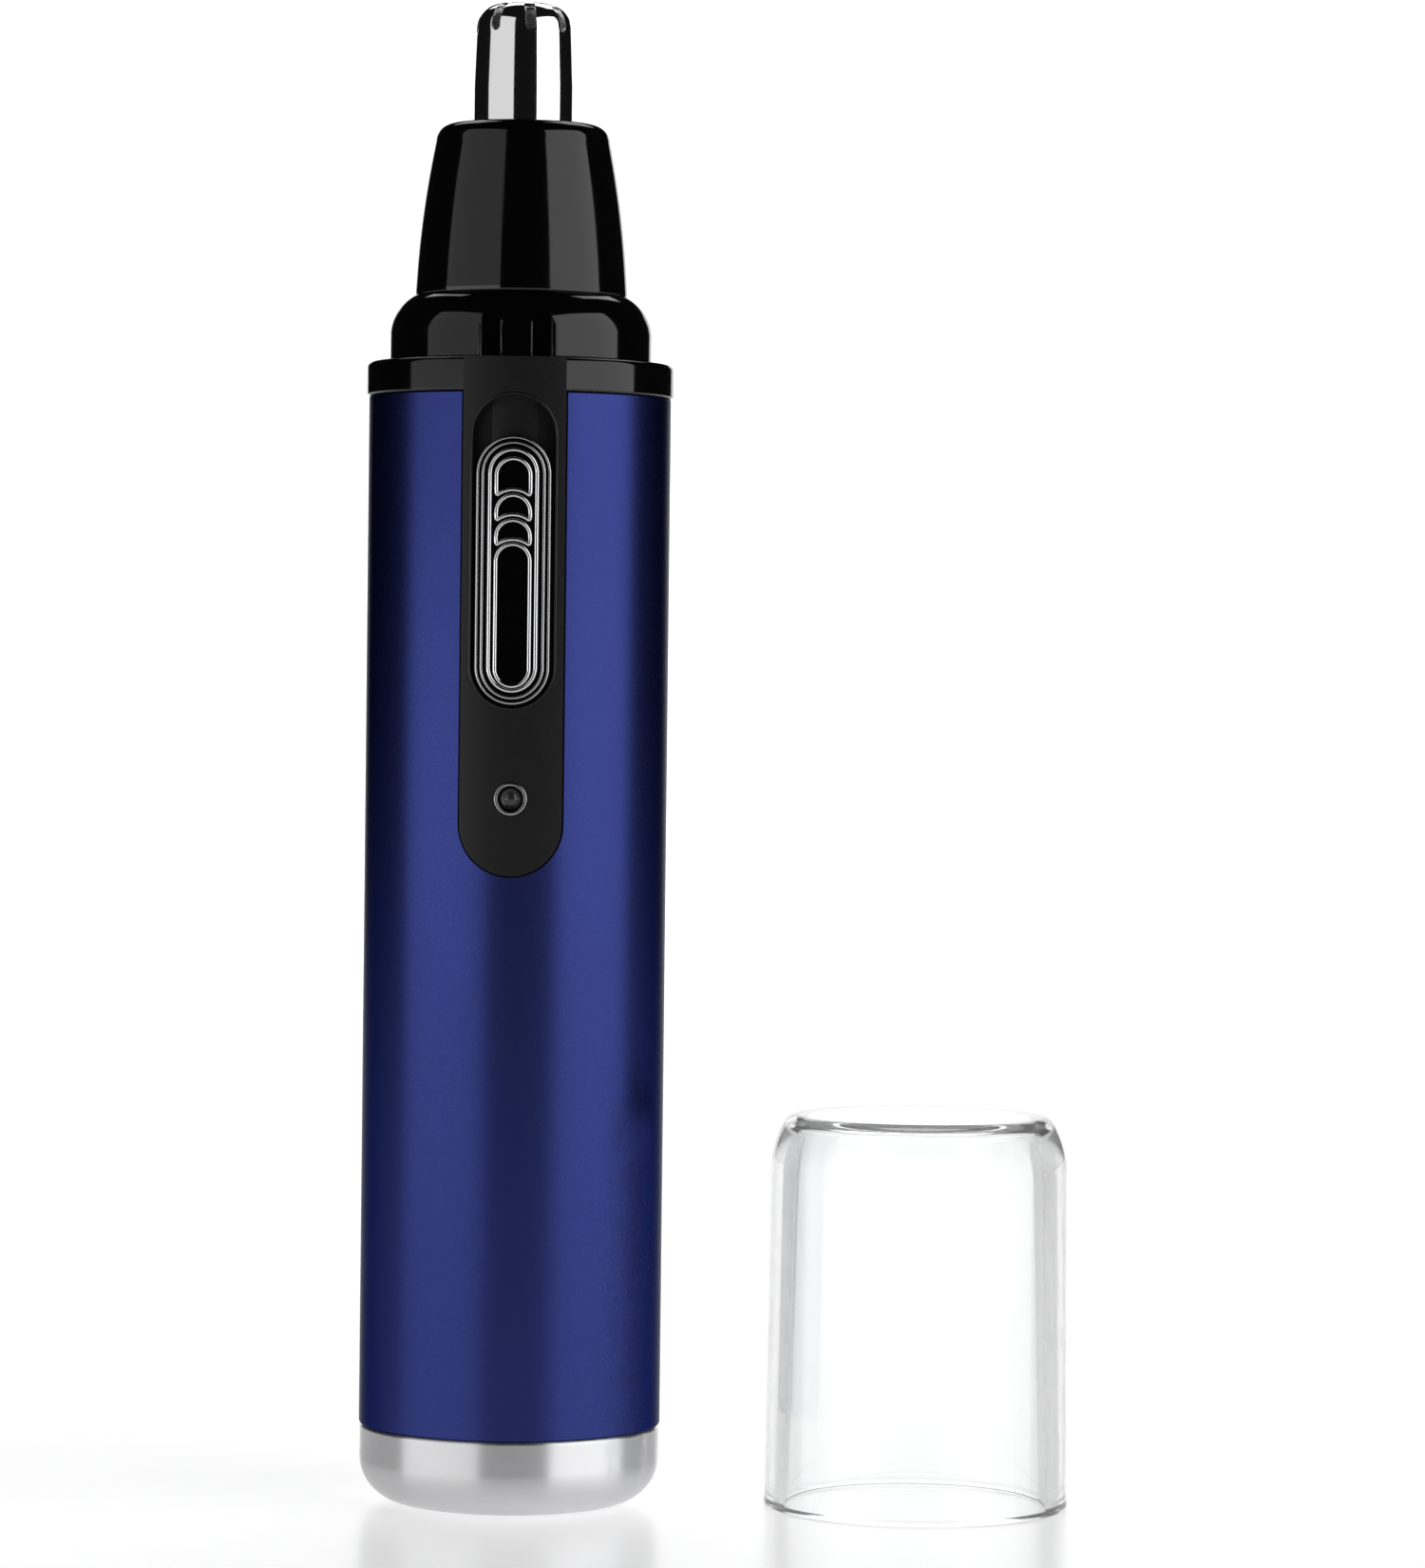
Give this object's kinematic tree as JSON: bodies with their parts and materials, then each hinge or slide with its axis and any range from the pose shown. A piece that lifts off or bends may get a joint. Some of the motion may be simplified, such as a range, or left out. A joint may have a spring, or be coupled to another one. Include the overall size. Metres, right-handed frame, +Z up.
{
  "type": "nose hair trimmer",
  "caption": "Upright rechargeable nose and ear hair trimmer with a round sleeve, sliding switch, slotted cutter tube and a clear cap standing beside it.",
  "frame": {"origin": "centre of the base's underside, at the mouth of the charging recess", "axes": "+Z up along the trimmer's axis to the cutter, -Y out of the switch side, +X towards the cap that stands beside it"},
  "size_m": [0.0662, 0.0293, 0.1389],
  "materials": {
    "blue_anodised": "satin blue anodising",
    "satin_aluminium": "satin, lightly brushed",
    "black_satin": "satin",
    "black_gloss": "polished",
    "chrome": "polished",
    "steel": "satin",
    "spring_steel": "bright wire",
    "clear_plastic": "clear, polished",
    "led_clear": "clear dome",
    "battery_wrap": "printed wrap over a metal can",
    "board_green": "solder mask",
    "component_black": "moulded",
    "component_tan": "glazed",
    "white_plastic": "natural nylon",
    "copper": "wound copper",
    "brass": "plated",
    "magnet": "sintered",
    "black_rubber": "matt"
  },
  "bodies": {
    "handle": {"sleeve": "blue_anodised", "front_frame": "black_satin", "rear_frame": "black_satin", "frame_screws": "steel", "base_cap": "satin_aluminium", "base_plug": "black_satin", "charge_socket": "component_black", "socket_pin": "brass", "socket_tags": "brass", "battery_tray": "black_satin", "battery": "battery_wrap", "battery_spring": "spring_steel", "battery_minus_plate": "steel", "battery_plus_plate": "steel", "circuit_board": "board_green", "board_resistors": "component_tan", "board_capacitor": "component_black", "board_chip": "component_black", "slide_switch": "steel", "led_bezel": "chrome", "led_lens": "led_clear", "led_legs": "steel", "motor_can": "steel", "motor_end_cap": "white_plastic", "motor_magnets": "magnet", "motor_tags": "brass", "motor_mount": "white_plastic", "motor_screws": "steel", "splash_seal": "black_rubber", "o_ring": "black_rubber"},
    "switch": {"switch_button": "black_gloss", "switch_trim": "chrome", "switch_clip": "white_plastic", "switch_slider": "component_black"},
    "motor_rotor": {"motor_shaft": "steel", "motor_armature": "copper", "motor_commutator": "copper", "drive_dog": "white_plastic"},
    "head": {"shoulder_ring": "black_gloss", "head_cone": "black_gloss", "cutter_tube": "chrome", "tube_retainer": "white_plastic", "shaft_bush": "white_plastic"},
    "blade": {"cutter_blade": "steel", "blade_hub": "white_plastic", "blade_spring": "spring_steel", "spring_washer": "steel"},
    "cap": {"clear_cap": "clear_plastic"}
  },
  "joints": [
    {"name": "switch_slide", "type": "slide", "parent": "handle", "child": "switch", "axis": [0, 0, 1], "range_m": [0, 0.003]},
    {"name": "motor_spin", "type": "hinge", "parent": "handle", "child": "motor_rotor", "pos_m": [0, 0, 0.08], "axis": [0, 0, 1], "continuous": true},
    {"name": "head_lift", "type": "slide", "parent": "handle", "child": "head", "axis": [0, 0, 1], "range_m": [0, 0.03]},
    {"name": "blade_spin", "type": "hinge", "parent": "head", "child": "blade", "pos_m": [0, 0, 0.12], "axis": [0, 0, 1], "continuous": true},
    {"name": "cap_lift", "type": "slide", "parent": "handle", "child": "cap", "axis": [0, 0, 1], "range_m": [0, 0.12]}
  ],
  "couplings": [
    {"joint": "blade_spin", "follows": "motor_spin", "ratio": 1}
  ]
}
